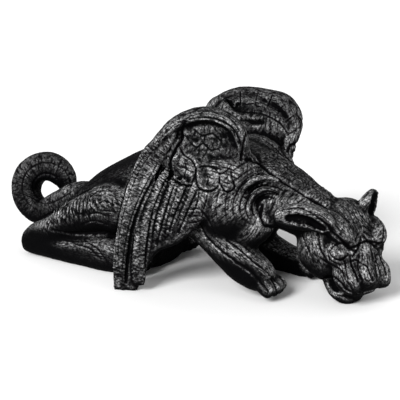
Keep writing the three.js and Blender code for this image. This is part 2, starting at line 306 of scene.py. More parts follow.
def hollow_forms():
    """What is cut away: the hollows of the ears and the corners of the open mouth."""
    near = [
        (x + 0.2 * w - 6, y - 0.95 * w, z, 0.8 * (w - EAR_WALL), 0.5 * (h - EAR_WALL))
        for x, y, z, w, h in NEAR_EAR[:3]
    ]
    far = [(x + 10, y + 1, z + 5, w - EAR_WALL, h - EAR_WALL / 2) for x, y, z, w, h in FAR_EAR]
    cuts = [Form("hollow", near), Form("hollow", far, HEAD_FORWARD)]
    for left in (-1, 1):
        cuts.append(Form("hollow", on_head([
            (44, 41 * left, -13, 10, 8), (58, 33 * left, -8, 13, 11), (70, 27 * left, -3, 9, 8),
        ]), HEAD_UP))
    return cuts


def fold_forms():
    """Skin folds curling round the throat, each a partial ring that faces outwards."""
    forms = []
    for radius in (26, 43):
        angles = np.radians(70 + 24 * np.arange(7))
        stations = [
            (136 + radius * c, -48 - radius * 0.28 + 4 * c, 118 + radius * s * 0.9, mm(11) / 2)
            for c, s in zip(np.cos(angles), np.sin(angles))
        ]
        forms.append(Form("fold", stations, (0.2, -1, 0.1), around=24))
    return forms


def foreleg_forms():
    return [
        Form(
            "upper_arm", [(102, -46, 134, 32, 26), (78, -58, 114, 38, 30), (44, -62, 84, 28, 22)], (0, -1, 0)
        ),
        Form("chest", [(116, -42, 110, 25, 18), (110, -52, 92, 26, 20), (90, -58, 70, 22, 20)], (0, -1, 0)),
        Form("forearm", [
            (28, -60, 84, 22, 20), (66, -60, 65, 22, 24), (100, -59, 42, 21, 26), (124, -58, 29, 22, 23),
            (140, -55, 19, 20, 18),
        ], taper=0.3),
        Form("upper_arm", [(92, 44, 134, 34, 26), (66, 54, 98, 36, 28), (46, 58, 56, 30, 23)], (0, 1, 0)),
        Form("chest", [(102, 38, 102, 22, 18), (80, 48, 74, 19, 20), (62, 54, 50, 20, 20)], (0, 1, 0)),
        Form("forearm", [
            (34, 60, 38, 22, 34), (74, 57, 24, 22, 25), (112, 55, 17, 20, 18), (138, 53, 15, 20, 19),
            (148, 51, 12, 18, 14),
        ], taper=0.3),
    ]


def hind_leg_forms():
    thigh = [(-150, -42, 76, 24, 28), (-110, -48, 82, 29, 34), (-70, -52, 80, 26, 37)]
    shank = [
        (-244, -61, 28, 16, 20), (-204, -61, 41, 18, 18), (-164, -61, 64, 21, 22), (-122, -58, 80, 24, 29),
        (-82, -54, 82, 26, 36),
    ]
    web = [(-226, -58, 34, 10, 14), (-170, -58, 42, 11, 22), (-110, -54, 50, 14, 30)]
    foot = [
        (-253, -63, 20, 18, 25), (-206, -62, 16, 18, 18), (-150, -64, 16, 18, 18), (-108, -64, 20, 22, 24),
        (-74, -60, 16, 23, 19), (-48, -59, 11, 22, 12),
    ]
    forms = []
    for place in (list, other_side):
        forms += [
            Form("web", place(web), taper=0.3), Form("thigh", place(thigh)), Form("shank", place(shank)),
            Form("foot", place(foot), taper=0.3),
        ]
    return forms


def toe_forms():
    """Four toes side by side across the front of each paw."""
    half = mm(17) / 2
    forms = []
    for x, y, z, yaw in ((143, -55, 12, -0.1), (147, 53, 8, 0.05), (-56, -59, 9, -0.05), (-56, 59, 9, 0.05)):
        for place in (-1.5, -0.5, 0.5, 1.5):
            spread = place * half * 1.3
            reach = 4 - abs(place) * 3
            forms.append(Form("toe", [
                (x - 18, y + spread * 0.9, z + 9, half * 0.85, 8),
                (x + reach - 3, y + spread + yaw * 10, z + 6, half * 1.02, 9),
                (x + reach + 7, y + spread * 1.05 + yaw * 20, z - 1, half, 10),
            ], taper=0.5, around=24, along=24))
    return forms


def tail_forms():
    """The tail leaves the rump, drops to the ground's side and closes one curl."""
    half, curl, turn = mm(43) / 2, mm(32), math.radians(15)
    middle = (-260, 0, 78)
    first, last, step = -95, -401, -34
    stations = [(-176, 0, 78, half * 1.5), (-204, 0, 74, half * 1.2), (-232, -4, 60, half)]
    for angle in range(first, last, step):
        a = math.radians(angle)
        out = curl * (1 - 0.17 * max(0, math.cos(a)) + 0.12 * max(0, -math.sin(a)))
        stations.append((
            middle[0] + out * math.cos(a) * math.cos(turn),
            middle[1] + out * math.cos(a) * math.sin(turn) - 5 + (first - angle) * 0.06,
            middle[2] + out * math.sin(a),
            half * (1 + (angle - first) * 0.0005 + 0.1 * math.sin(a)),
        ))
    return [Form("tail", stations, (0.1, -1, 0.05), square=2.8, around=48, along=120)]


WING_OUT = np.array([0.3, -1.0, 0.22])
BLADE = mm(15) / 2
RISE = BLADE / 2 + mm(7) / 2
COVERT = mm(34) / 2
WING_RIM = [
    (102, -48, 154), (99, -58, 190), (96, -69, 217), (79, -81, 232), (55, -89, 234), (26, -95, 222),
    (5, -101, 201), (-12, -107, 178),
]
WING_BLADE = [
    (60, -80, 231, 28), (57, -78, 218, 44), (54, -72, 198, 53), (46, -76, 176, 56), (38, -82, 154, 60),
    (20, -90, 128, 50), (2, -101, 98, 44), (-18, -111, 69, 30), (-28, -117, 36, 21), (-34, -121, -4, 15),
]
FEATHER = mm(27) / 2
LONG_FEATHERS = [
    [(20, -96, 211, 0.85), (-6, -106, 176, 1.25), (-19, -114, 139, 1.2), (-29, -120, 103, 1.05),
     (-37, -124, 69, 0.9), (-42, -126, 36, 0.85), (-45, -125, -6, 0.8)],
    [(15, -98, 164, 0.4), (1, -106, 130, 0.7), (-9, -112, 100, 0.75), (-14, -117, 70, 0.85),
     (-17, -120, 39, 0.85), (-17, -121, 9, 0.8)],
    [(24, -93, 155, 0.4), (16, -99, 126, 0.6), (9, -105, 97, 0.6), (5, -110, 69, 0.55)],
    [(33, -89, 150, 0.45), (24, -96, 116, 0.6), (18, -104, 75, 0.45)],
    [(46, -83, 146, 0.45), (37, -90, 114, 0.6), (30, -97, 84, 0.45)],
    [(58, -77, 142, 0.45), (51, -83, 112, 0.6), (45, -90, 86, 0.45)],
]
COVERT_ROW = [(35, -88, 164), (56, -79, 158), (78, -68, 155), (97, -56, 155)]
WING_SHOULDER = [(102, -40, 138, 26, 36), (72, -50, 152, 34, 38), (34, -56, 150, 30, 34)]
# Where the far wing differs, given on the near side: its rim's front, its blade's top and back corner, its
# thickness, and how far it is opened back at its top.
FAR_FRONT = [(100, -48, 154), (95, -58, 190), (95, -69, 218), (81, -81, 235)]
FAR_TOP = [(58, -80, 229, 16)]
FAR_CORNER = [(60, -82, 222, 14), (34, -91, 209, 17), (14, -98, 188, 18), (2, -104, 164, 16)]
FAR_THICKER = 1.4
SPREAD_BACK = 0.42


def opened_back(stations):
    """The far wing is opened a little further back than the near one."""
    moved = []
    for x, y, z, *size in stations:
        lift = float(smoothstep(60, 200, z))
        back = SPREAD_BACK * lift
        wide = [size[0] * (1 + back * 0.45)] if size else []
        rise = lift * (0.0029 * (104 - x) ** 2 - 14.5)
        moved.append((x + 18 * lift ** 4 - 6 - back * (104 - x), y, z + rise, *wide, *size[1:]))
    return moved


def wing_forms(far):
    """A folded wing: shoulder, blade, rolled rim, long feathers and the short ones over their roots."""
    out = WING_OUT * (1, -1, 1) if far else WING_OUT

    def place(stations):
        return other_side(opened_back(stations)) if far else stations

    rim = mm(20) / 2
    thick = BLADE * (FAR_THICKER if far else 1)
    blade = FAR_TOP + WING_BLADE[1:] if far else WING_BLADE
    edge = FAR_FRONT + WING_RIM[4:] if far else WING_RIM
    rims = [(*point, rim * (1 - 0.04 * abs(i - 3)), rim) for i, point in enumerate(edge)]
    forms = [
        Form("wing_shoulder", place(WING_SHOULDER)),
        Form("blade", place([(*s, thick) for s in blade]), out, taper=0.3, square=3, around=64, along=64),
        Form("rim", place(rims), out, along=72),
    ]
    if far:
        forms.append(Form("blade", place([(*s, thick) for s in FAR_CORNER]), out, taper=0.3, square=3))
    for feather in LONG_FEATHERS:
        stations = [(x, y, z, FEATHER * share, RISE) for x, y, z, share in feather]
        forms.append(Form("feather", place(stations), out, taper=0.3, square=2, along=72))
    for x, y, z in COVERT_ROW:
        forms.append(Form("covert", place([
            (x + 5, y + 6, z + COVERT, 14, RISE * 0.7), (x, y + 2, z, 16, RISE * 0.8),
            (x - 5, y, z - COVERT, 13, RISE * 0.8),
        ]), out, taper=0.6))
    return forms


def all_forms():
    return (
        trunk_forms() + head_forms() + ear_forms() + fold_forms() + foreleg_forms() + hind_leg_forms()
        + toe_forms() + tail_forms() + wing_forms(False) + wing_forms(True)
    )


# Camera, as it stands to the figure, with its focal length in the photograph's pixels.
VIEW_AROUND = math.radians(32)
VIEW_ABOVE = math.radians(15)
VIEW_DISTANCE = 1.8621
VIEW_TARGET = np.array([0.01887, 0.0, 0.09982])
PICTURE = 400
SENSOR = 36.0
LENS = 121.9

# Light: an even studio and one soft lamp, from the same kind of angles as the camera's.
STUDIO_STRENGTH = 0.68
LAMP_AROUND = math.radians(-2)
LAMP_ABOVE = math.radians(31)
LAMP_SOFTNESS = math.radians(26)
FLOOR_HALF = 20


def view_axes(around, above):
    """Right, up and back of a camera that looks at the figure from these angles."""
    back = np.array([
        math.sin(around) * math.cos(above), -math.cos(around) * math.cos(above), math.sin(above)
    ])
    right = np.array([math.cos(around), math.sin(around), 0.0])
    return right, np.cross(back, right), back


# Lines carved into the stone, as they are seen in the picture: pixels, then width and depth in millimetres. A
# negative depth is a raised line.
WING_LINES = [
    # The edge of the wing's bowl, and folds along the rolled rim.
    ([(186, 122), (182, 130), (182, 138), (176, 148), (171, 158), (171, 168), (173, 176)], 3.4, 3.2),
    ([(190, 119), (205, 118), (220, 121), (231, 128), (238, 138), (241, 150), (241, 159)], 3.2, 2.6),
    ([(178, 118), (195, 111), (212, 111), (228, 117), (240, 130)], 1.8, 1.0),
    ([(148, 154), (160, 138), (178, 123), (195, 115), (214, 114)], 1.6, 0.9),
    # Grooves between the long feathers, and ridges and creases along them.
    ([(161, 166), (152, 182), (144, 197), (137, 215), (132, 232), (129, 250), (127, 268), (126, 282)],
     3.2, 3.6),
    ([(156, 166), (147, 182), (139, 198), (132, 216), (127, 234), (124, 252), (122, 270)], 1.7, 1.3),
    ([(150, 186), (143, 202), (138, 222), (136, 244), (135, 272)], 6.0, -1.5),
    ([(146, 152), (132, 175), (123, 200), (117, 225), (115, 250), (115, 275)], 1.7, 1.3),
    ([(153, 150), (138, 173), (128, 198), (121, 224), (118, 250), (118, 274)], 1.5, 1.0),
    ([(172, 172), (163, 187), (156, 205), (151, 222), (148, 240), (146, 258), (146, 275)], 3.2, 3.4),
    ([(167, 180), (159, 196), (153, 214), (149, 232)], 1.6, 1.2),
    ([(176, 180), (170, 197), (165, 214), (160, 232), (157, 244)], 2.8, 2.6),
    ([(187, 186), (180, 203), (173, 220), (168, 236)], 2.6, 2.4),
    ([(197, 190), (190, 206), (183, 222), (178, 232)], 2.4, 2.2),
    ([(181, 184), (173, 206), (166, 230)], 1.3, -0.9),
    ([(192, 190), (184, 208), (176, 226)], 1.3, -0.9),
    # Rounded edges of the short feathers, their middle creases, and dents in the bowl.
    ([(176, 152), (170, 160), (169, 168), (172, 177), (180, 184), (191, 186)], 2.6, 2.6),
    ([(191, 186), (194, 178), (196, 169), (191, 160), (183, 154), (178, 143)], 2.2, 1.8),
    ([(196, 170), (196, 181), (200, 189), (211, 191), (218, 186), (219, 174)], 2.6, 2.4),
    ([(219, 174), (220, 184), (227, 192), (234, 188), (232, 177), (230, 169)], 2.4, 2.0),
    ([(196, 168), (206, 166), (214, 168), (219, 174), (226, 171), (231, 166)], 2.2, 1.6),
    ([(184, 160), (186, 168), (184, 177)], 1.8, 1.0), ([(206, 172), (208, 180), (206, 187)], 1.8, 1.0),
    ([(188, 140), (196, 147), (203, 144), (211, 150), (220, 148)], 2.2, 1.2),
    ([(194, 130), (203, 136), (212, 134), (221, 141)], 2.4, 1.0),
    ([(199, 190), (197, 203), (192, 214)], 2.0, 1.4), ([(208, 192), (205, 204), (202, 212)], 1.8, 1.0),
]
FAR_WING_LINES = [
    ([(224, 97), (222, 109)], 2.2, 1.6), ([(240, 91), (240, 106)], 2.6, 2.0),
    ([(258, 91), (255, 104)], 2.0, 1.4), ([(272, 95), (267, 108)], 2.2, 1.6),
    ([(286, 101), (277, 114)], 2.0, 1.4), ([(296, 113), (284, 123)], 2.0, 1.4),
    ([(299, 128), (287, 135)], 2.0, 1.4), ([(242, 119), (252, 122), (262, 122)], 6.0, 4.0),
    ([(243, 112), (262, 114), (280, 124), (290, 138)], 2.2, 1.5),
    ([(246, 104), (262, 103), (280, 112)], 1.8, 1.0), ([(262, 138), (275, 148), (286, 160)], 2.0, 1.4),
]
NECK_LINES = [
    ([(246, 160), (258, 163), (268, 171), (282, 181), (297, 190), (312, 200), (325, 208)], 3.8, 3.8),
    ([(246, 134), (243, 148), (241, 160)], 3.2, 3.0),
    ([(262, 146), (285, 160), (310, 178), (335, 198)], 1.6, 0.9),
    ([(268, 156), (290, 170), (312, 186), (335, 203)], 1.6, 0.8),
    ([(262, 206), (261, 216), (266, 226), (276, 228)], 4.0, 3.6),
]
HEAD_LINES = [
    # The brows and the root of the nose.
    ([(325, 224), (333, 233), (341, 241), (349, 248), (356, 251)], 3.2, 3.2),
    ([(316, 217), (327, 225), (336, 232)], 2.2, 1.6),
    ([(349, 249), (355, 247), (360, 243), (361, 237)], 2.6, 2.4),
    ([(361, 243), (367, 241), (373, 245), (378, 250)], 2.4, 2.2),
    # The eye's lids and the fold under it.
    ([(329, 252), (334, 246), (341, 244), (348, 248)], 1.8, 1.8),
    ([(329, 253), (335, 259), (342, 260), (348, 255)], 1.8, 1.8),
    ([(327, 247), (329, 258), (337, 264), (347, 263)], 1.6, 1.2),
    # The sides of the nose, the muzzle's pads and the cheek.
    ([(350, 257), (352, 266), (356, 275), (358, 282)], 2.4, 2.4),
    ([(360, 263), (367, 266), (370, 273), (373, 281)], 2.2, 2.2),
    ([(351, 262), (356, 260), (361, 263)], 1.8, 1.4),
    ([(345, 262), (347, 272), (349, 283), (353, 291)], 2.2, 2.0),
    ([(321, 259), (331, 265), (341, 270), (346, 280), (347, 290)], 2.2, 2.0),
    # The mouth and the chin.
    ([(322, 279), (332, 277), (341, 284), (347, 291), (357, 294), (369, 292), (380, 288)], 2.8, 3.2),
    ([(326, 288), (335, 294), (346, 297)], 1.8, 1.2),
    # Folds behind the cheek, wrinkles of the forehead and the far cheek, and the near ear's edge.
    ([(311, 222), (318, 234), (320, 248), (326, 260)], 2.0, 1.3),
    ([(303, 237), (308, 250), (314, 262)], 2.0, 1.3),
    ([(356, 209), (364, 219), (371, 226)], 1.5, 1.0), ([(360, 217), (368, 227)], 1.4, 0.9),
    ([(362, 225), (371, 231)], 1.4, 0.9), ([(363, 232), (373, 237)], 1.4, 0.9),
    ([(346, 207), (355, 215), (361, 226)], 1.4, 0.7), ([(337, 208), (346, 218), (354, 231)], 1.4, 0.6),
    ([(338, 221), (344, 224), (342, 230), (337, 228)], 1.4, 1.0),
    ([(374, 251), (377, 262), (381, 276)], 1.8, 1.2),
    ([(283, 209), (300, 208), (315, 215), (328, 226)], 2.0, 1.6),
]
FORELEG_LINES = [
    ([(206, 236), (220, 250), (236, 262), (250, 272), (262, 284), (268, 291)], 2.8, 2.4),
    ([(226, 240), (240, 250), (255, 263), (268, 273), (277, 283)], 2.0, 1.6),
    ([(233, 238), (248, 250), (262, 260)], 1.6, 1.0),
    ([(263, 282), (267, 290), (267, 298)], 2.4, 2.4), ([(271, 279), (276, 287), (277, 297)], 2.4, 2.4),
    ([(278, 274), (283, 281), (285, 291)], 2.4, 2.2),
    ([(195, 216), (201, 226), (206, 236)], 2.0, 1.4), ([(201, 210), (209, 221), (215, 234)], 1.8, 1.1),
    ([(186, 210), (196, 209)], 1.6, 1.2), ([(187, 216), (197, 216)], 1.6, 1.2),
    ([(189, 223), (199, 222)], 1.8, 1.4),
]
HIND_LEG_LINES = [
    ([(35, 221), (50, 214), (66, 205), (82, 193), (96, 188), (110, 186)], 2.4, 1.8),
    ([(52, 230), (66, 233), (86, 233), (110, 232)], 4.2, 3.6),
    ([(73, 243), (88, 248), (101, 259)], 1.8, 1.2), ([(84, 240), (97, 249), (108, 263)], 1.8, 1.3),
    ([(60, 240), (76, 242), (92, 241)], 1.6, 0.9), ([(50, 221), (47, 231), (52, 239)], 2.2, 1.3),
    ([(88, 199), (98, 191), (112, 191)], 2.0, 1.5), ([(84, 216), (96, 213), (108, 217)], 1.8, 1.2),
    ([(82, 224), (94, 221), (108, 225)], 1.8, 1.3), ([(96, 205), (106, 201), (114, 206)], 1.6, 1.1),
]
TAIL_LINES = [
    ([(74, 190), (60, 199), (46, 204), (32, 198)], 1.8, 1.0),
    ([(88, 186), (100, 178), (114, 168)], 2.0, 1.2),
]
TAIL_CENTRE = (46.5, 187.0)
TAIL_RINGS = (13.5, 24.5)
THROAT_CENTRE = (269, 208)
THROAT_RINGS = [(11, 1.6), (17, 1.5), (23, 1.4), (29, 1.3), (36, 1.1), (44, 0.9), (53, 0.8)]


def arc(centre, radius, first, last, count, width, depth, flat=1.0):
    """A line round part of a circle in the picture, between two angles, with its height times `flat`."""
    angles = np.radians(np.linspace(first, last, count))
    path = [(centre[0] + radius * math.cos(a), centre[1] - flat * radius * math.sin(a)) for a in angles]
    return path, width, depth


def throat_wrinkles():
    """Skin wrinkles in rings round the hollow behind the ear, with a crest standing proud outside each."""
    crests = [(radius + 3.2, -0.55 * depth) for radius, depth in THROAT_RINGS]
    return [
        arc(THROAT_CENTRE, radius, 55, 205, 12, 1.8, depth, 0.95) for radius, depth in THROAT_RINGS + crests
    ]


def tail_rings():
    """The two edges of the flat strip along the tail's curl."""
    return [arc(TAIL_CENTRE, radius, -20, 245, 16, 2.2, 1.2) for radius in TAIL_RINGS]


# Mesh handling.


def add_object(name, data):
    thing = bpy.data.objects.new(name, data)
    bpy.context.scene.collection.objects.link(thing)
    return thing


def mesh_of(name, shells):
    """One mesh, in metres, of several closed shells given in grid steps."""
    vertices, faces, start = [], [], 0
    for points, cells in shells:
        vertices.append(points)
        faces += [tuple(i + start for i in cell) for cell in cells]
        start += len(points)
    mesh = bpy.data.meshes.new(name)
    mesh.from_pydata((np.vstack(vertices) * STEP).tolist(), [], faces)
    mesh.validate()
    return mesh


def evaluated_mesh(thing):
    """A plain mesh of an object as its modifiers leave it."""
    graph = bpy.context.evaluated_depsgraph_get()
    return bpy.data.meshes.new_from_object(thing.evaluated_get(graph), depsgraph=graph)


def applied(thing):
    """Turns an object's modifiers into its plain mesh."""
    mesh = evaluated_mesh(thing)
    thing.modifiers.clear()
    old = thing.data
    thing.data = mesh
    bpy.data.meshes.remove(old)
    return thing


def deleted(thing):
    mesh = thing.data
    bpy.data.objects.remove(thing)
    bpy.data.meshes.remove(mesh)


def fused(thing, voxel):
    """Fuses the overlapping shells of an object into one skin."""
    remesh = thing.modifiers.new("fuse", "REMESH")
    remesh.mode = "VOXEL"
    remesh.voxel_size = voxel
    return applied(thing)


def cut(thing, cutter):
    boolean = thing.modifiers.new("cut", "BOOLEAN")
    boolean.operation = "DIFFERENCE"
    boolean.solver = "MANIFOLD"
    boolean.object = cutter
    applied(thing)
    deleted(cutter)
    return thing


def joined(name, things):
    """One object with the meshes of several."""
    for thing in bpy.context.view_layer.objects:
        thing.select_set(thing in things)
    bpy.context.view_layer.objects.active = things[0]
    if len(things) > 1:
        bpy.ops.object.join()
    things[0].name = name
    return things[0]


def positions(mesh):
    values = np.empty(len(mesh.vertices) * 3)
    mesh.vertices.foreach_get("co", values)
    return values.reshape(-1, 3)


def normals(mesh):
    values = np.empty(len(mesh.vertices) * 3)
    mesh.vertices.foreach_get("normal", values)
    return values.reshape(-1, 3)


def edges(mesh):
    values = np.empty(len(mesh.edges) * 2, np.int32)
    mesh.edges.foreach_get("vertices", values)
    return values.reshape(-1, 2)


def set_positions(mesh, values):
    mesh.vertices.foreach_set("co", values.ravel())
    mesh.update()


def neighbour_mean(values, pairs):
    """The mean of each vertex's neighbours."""
    n = len(values)
    count = np.bincount(pairs[:, 0], minlength=n) + np.bincount(pairs[:, 1], minlength=n)
    mean = np.empty_like(values)
    for k in range(values.shape[1]):
        mean[:, k] = np.bincount(pairs[:, 0], values[pairs[:, 1], k], n)
        mean[:, k] += np.bincount(pairs[:, 1], values[pairs[:, 0], k], n)
    return mean / np.maximum(count, 1)[:, None]


def smoothed(values, pairs, rounds, share=0.6):
    """Evens values out over neighbouring vertices. `share` may differ from vertex to vertex."""
    for _ in range(rounds):
        values = values + (neighbour_mean(values, pairs) - values) * share
    return values


def smooth(thing, rounds):
    """Evens out an object's surface."""
    set_positions(thing.data, smoothed(positions(thing.data), edges(thing.data), rounds))


def on_ground(thing, shift):
    """Moves an object's points, and brings what lies below the ground up to it."""
    points = positions(thing.data) + shift
    points[:, 2] = np.maximum(points[:, 2], 0)
    set_positions(thing.data, points)


def largest_skin(thing):
    """Deletes every loose skin but the largest one."""
    mesh = thing.data
    pairs = edges(mesh)
    label = np.arange(len(mesh.vertices))
    while True:
        low = label.copy()
        np.minimum.at(low, pairs[:, 0], label[pairs[:, 1]])
        np.minimum.at(low, pairs[:, 1], label[pairs[:, 0]])
        low = low[low]
        if (low == label).all():
            break
        label = low
    kept = np.bincount(label).argmax()
    if (label == kept).all():
        return thing
    shape = bmesh.new()
    shape.from_mesh(mesh)
    shape.verts.ensure_lookup_table()
    bmesh.ops.delete(shape, geom=[shape.verts[i] for i in np.flatnonzero(label != kept)], context="VERTS")
    shape.to_mesh(mesh)
    shape.free()
    return thing


def seen(surface, pixels, shift):
    """The points of the stone that lie under a line of the picture."""
    right, up, back = view_axes(VIEW_AROUND, VIEW_ABOVE)
    eye = Vector(VIEW_TARGET + back * VIEW_DISTANCE - shift)
    focal = LENS / SENSOR * PICTURE
    length = np.linalg.norm(np.diff(np.array(pixels, float), axis=0), axis=1).sum()
    line = spline(pixels, np.linspace(0, 1, max(4, int(length * 1.5))))
    path = []
    for x, y in line:
        ray = Vector(right * (x - PICTURE / 2) / focal - up * (y - PICTURE / 2) / focal - back).normalized()
        hit = surface.ray_cast(eye, ray)[0]
        if hit is not None:
            path.append(hit)
    return np.array(path)


def far_copy(surface, path, repeat):
    """A carved line's twin on the far side, on the stone's nearest surface."""
    grid = path / STEP
    if repeat == "head":
        local = (grid - HEAD_CENTRE) @ HEAD_TURN
        local[:, 1] = 2 * HEAD_MIDDLE - local[:, 1]
        twin = local @ HEAD_TURN.T + HEAD_CENTRE
    else:
        stations = opened_back([tuple(point) for point in grid]) if repeat == "wing" else grid
        twin = np.array(other_side([tuple(point) for point in stations]))
    return np.array([surface.find_nearest(Vector(point))[0] for point in twin * STEP])


def carve(points, lift, path, width, depth):
    """Lowers the stone along a path by up to `depth`, over `width` on each side of it."""
    margin = width * 1.2
    near = np.flatnonzero(((points > path.min(0) - margin) & (points < path.max(0) + margin)).all(1))
    gap = np.full(len(near), np.inf)
    share = np.zeros(len(near))
    for i, spot in enumerate(path):
        d = ((points[near] - spot) ** 2).sum(1)
        closer = d < gap
        gap[closer] = d[closer]
        share[closer] = i / (len(path) - 1)
    ends = np.sin(np.clip(share, 0.04, 0.96) * math.pi) ** 0.35
    profile = np.clip(1 - gap / width ** 2, 0, 1) ** 2
    lift[near] -= depth * ends * profile


def openness(mesh, reach=0.045, start=0.0012):
    """How much of the open air each point of the surface sees, from 0 in a deep hollow to 1."""
    points, outward = positions(mesh), normals(mesh)
    faces = [tuple(face.vertices) for face in mesh.polygons]
    cast = BVHTree.FromPolygons(points.tolist(), faces).ray_cast
    side = np.cross(outward, [0.36, 0.48, 0.8])
    side /= np.maximum(np.linalg.norm(side, axis=1, keepdims=True), 1e-6)
    across = np.cross(outward, side)
    origins = (points + outward * start).tolist()
    seen_air = np.zeros(len(points))
    rays = [(0, 0)] + [(32, 60 * i) for i in range(6)] + [(62, 60 * i + 30) for i in range(6)]
    for lean, turn in rays:
        a, b = math.radians(lean), math.radians(turn)
        ways = outward * math.cos(a) + (side * math.cos(b) + across * math.sin(b)) * math.sin(a)
        for i, (origin, way) in enumerate(zip(origins, ways.tolist())):
            distance = cast(origin, way, reach)[3]
            seen_air[i] += 1 if distance is None else (distance / reach) ** 0.7
    return seen_air / len(rays)


# Size of one tool stroke, along a form and round it, in grid steps. The others are struck lengthwise.
STROKE = (7.0, 1.7)
STROKES = {
    "feather": (1.7, 7.0), "neck": (1.8, 12.0), "mane": (1.8, 8.0), "tail": (1.8, 9.0), "shank": (1.8, 9.0),
    "skull": (5.0, 1.4), "pad": (5.0, 1.4), "bridge": (5.0, 1.4), "brow": (5.0, 1.4), "cheek": (5.0, 1.4),
    "covert": (1.9, 7.0), "rim": (9.0, 1.9), "blade": (9.0, 1.9),
}


def stroke_places(points):
    """Where points lie on the form nearest to them, counted in tool strokes along it and round it."""
    places = np.zeros((len(points), 3))
    nearest = np.full(len(points), 1e9)
    for number, form in enumerate(all_forms()):
        found, along, across, over, radius = form.place(points)
        off = np.abs(radius - 1) * form.sizes.mean()
        closer = off < nearest[found]
        found, along, across, over = found[closer], along[closer], across[closer], over[closer]
        nearest[found] = off[closer]
        long, wide = STROKES.get(form.kind, STROKE)
        around = np.arctan2(across, over) * form.sizes.mean()
        places[found] = np.c_[along / long, around / wide, np.full(len(found), 3.7 * number)]
    return places


# Where the wear and its painted light and shade change, in metres: a place where it starts and one where it
# is full, or height and side.
WING_SIDE, WING_HEIGHT, CREST_HEIGHT = (0.060, 0.075), (0.11, 0.14), (0.185, 0.215)
UNDER_WING, THROAT_FRONT, ELBOW = (0.080, 0.100), (0.15, 0.18), (-0.05, 0.0)
RUMP_BACK, RUMP_FRONT, RUMP_SIDE = (-0.23, -0.14), (-0.05, 0.05), (0.030, 0.062)
TAIL_ROOT = (-0.24, -0.19)


def painted_light_shade_and_wear(points, outward):
    """How much of the grey wear shows at each point, with painted light and shade from its place and the way
    that it faces.
    """
    x, y, z = points[:, 0], np.abs(points[:, 1]), points[:, 2]
    up = outward[:, 2]
    # Painted shade: the stone is darker where it faces down.
    share = 0.03 + 0.97 * smoothstep(-0.42, 0.35, up)
    # Painted shade on the lower legs, between the wings and behind the head: darker except on top.
    knee = 0.032 + 0.012 * smoothstep(*ELBOW, x)
    low = 1 - smoothstep(knee, knee + 0.022, z)
    low *= (1 - smoothstep(*UNDER_WING, y)) * (1 - smoothstep(*THROAT_FRONT, x))
    share *= 1 - low * (1 - smoothstep(0.20, 0.75, up))
    # Painted light on the wings' sides, whichever way they face; painted shade where the wings or the back
    # lie flat on top, and along the crests.
    wing = smoothstep(*WING_SIDE, y) * smoothstep(*WING_HEIGHT, z)
    share += wing * np.maximum(0, smoothstep(-0.9, -0.1, up) - share)
    share *= 1 - 0.3 * smoothstep(0.45, 0.9, up)
    share *= 1 - 0.5 * smoothstep(*CREST_HEIGHT, z) * smoothstep(-0.1, 0.4, up)
    # Painted shade on the rump's back, and the stone darker towards the tail.
    rump = smoothstep(*RUMP_BACK, x) * (1 - smoothstep(*RUMP_FRONT, x)) * (1 - smoothstep(*RUMP_SIDE, y))
    share *= 1 - 0.88 * rump
    return share * (0.45 + 0.55 * smoothstep(*TAIL_ROOT, x))


# How far the stone stands proud, in metres, for the grey wear's full step: over the stone close by, and over
# the form around. The other values are the deepest hollow and the open air that still count; hollows and
# points that see little open air are painted in shade.
PROUD_NEAR, PROUD_WIDE, DEEPEST = 0.0013, 0.012, -0.003
EVEN_WEAR, OPEN_AIR, AIR_SHARE = 0.56, 0.8, 0.55


def raised(mesh):
    """How much each point stands proud of the stone around it and sees the open air, from 0 to 1: proud
    points wear grey, and hollows that see little air get painted shade.
    """
    points, pairs, outward = positions(mesh), edges(mesh), normals(mesh)
    near = ((points - smoothed(points, pairs, 4)) * outward).sum(1)
    wide = ((points - smoothed(points, pairs, 24)) * outward).sum(1)
    air = smoothed(openness(mesh)[:, None], pairs, 1)[:, 0]
    proud = near / PROUD_NEAR + np.maximum(wide, DEEPEST) / PROUD_WIDE
    # Painted shade: hollows and points that see little open air are made darker, and proud points lighter as
    # wear.
    return np.clip(EVEN_WEAR + proud + (np.minimum(air, OPEN_AIR) - OPEN_AIR) * AIR_SHARE, 0, 1)


def add_attribute(mesh, name, values):
    values = np.asarray(values, np.float32)
    vector = values.ndim > 1
    layer = mesh.attributes.new(name, "FLOAT_VECTOR" if vector else "FLOAT", "POINT")
    layer.data.foreach_set("vector" if vector else "value", values.ravel())


# Node helpers.


def new_tree(name, inputs):
    """A geometry node tree with named inputs: (name, socket type, default)."""
    tree = bpy.data.node_groups.new(name, "GeometryNodeTree")
    tree.interface.new_socket("Geometry", in_out="INPUT", socket_type="NodeSocketGeometry")
    for label, kind, default in inputs:
        socket = tree.interface.new_socket(label, in_out="INPUT", socket_type=kind)
        if default is not None:
            socket.default_value = default
    tree.interface.new_socket("Geometry", in_out="OUTPUT", socket_type="NodeSocketGeometry")
    return tree


def node(tree, kind, setup=None, **inputs):
    """Adds a node. `setup` holds its own settings. Inputs are given by name, with _ for a space, or as in0,
    in1 by their place."""
    made = tree.nodes.new(kind)
    for name, value in (setup or {}).items():
        setattr(made, name, value)
    for key, value in inputs.items():
        if key.startswith("in") and key[2:].isdigit():
            socket = made.inputs[int(key[2:])]
        else:
            socket = made.inputs[key.replace("_", " ")]
        if isinstance(value, bpy.types.NodeSocket):
            tree.links.new(value, socket)
        else:
            socket.default_value = value
    return made


def set_inputs(modifier, values):
    """Sets a geometry node modifier's inputs by the sockets' identifiers."""
    for item in modifier.node_group.interface.items_tree:
        if item.item_type == "SOCKET" and item.in_out == "INPUT" and item.name in values:
            modifier[item.identifier] = values[item.name]


def maths(tree, operation, a, b=0.0):
    return node(tree, "ShaderNodeMath", {"operation": operation}, in0=a, in1=b).outputs[0]


def vector_maths(tree, operation, a, b=None, scale=None):
    others = {}
    if b is not None:
        others["in1"] = b
    if scale is not None:
        others["Scale"] = scale
    return node(tree, "ShaderNodeVectorMath", {"operation": operation}, in0=a, **others).outputs[0]


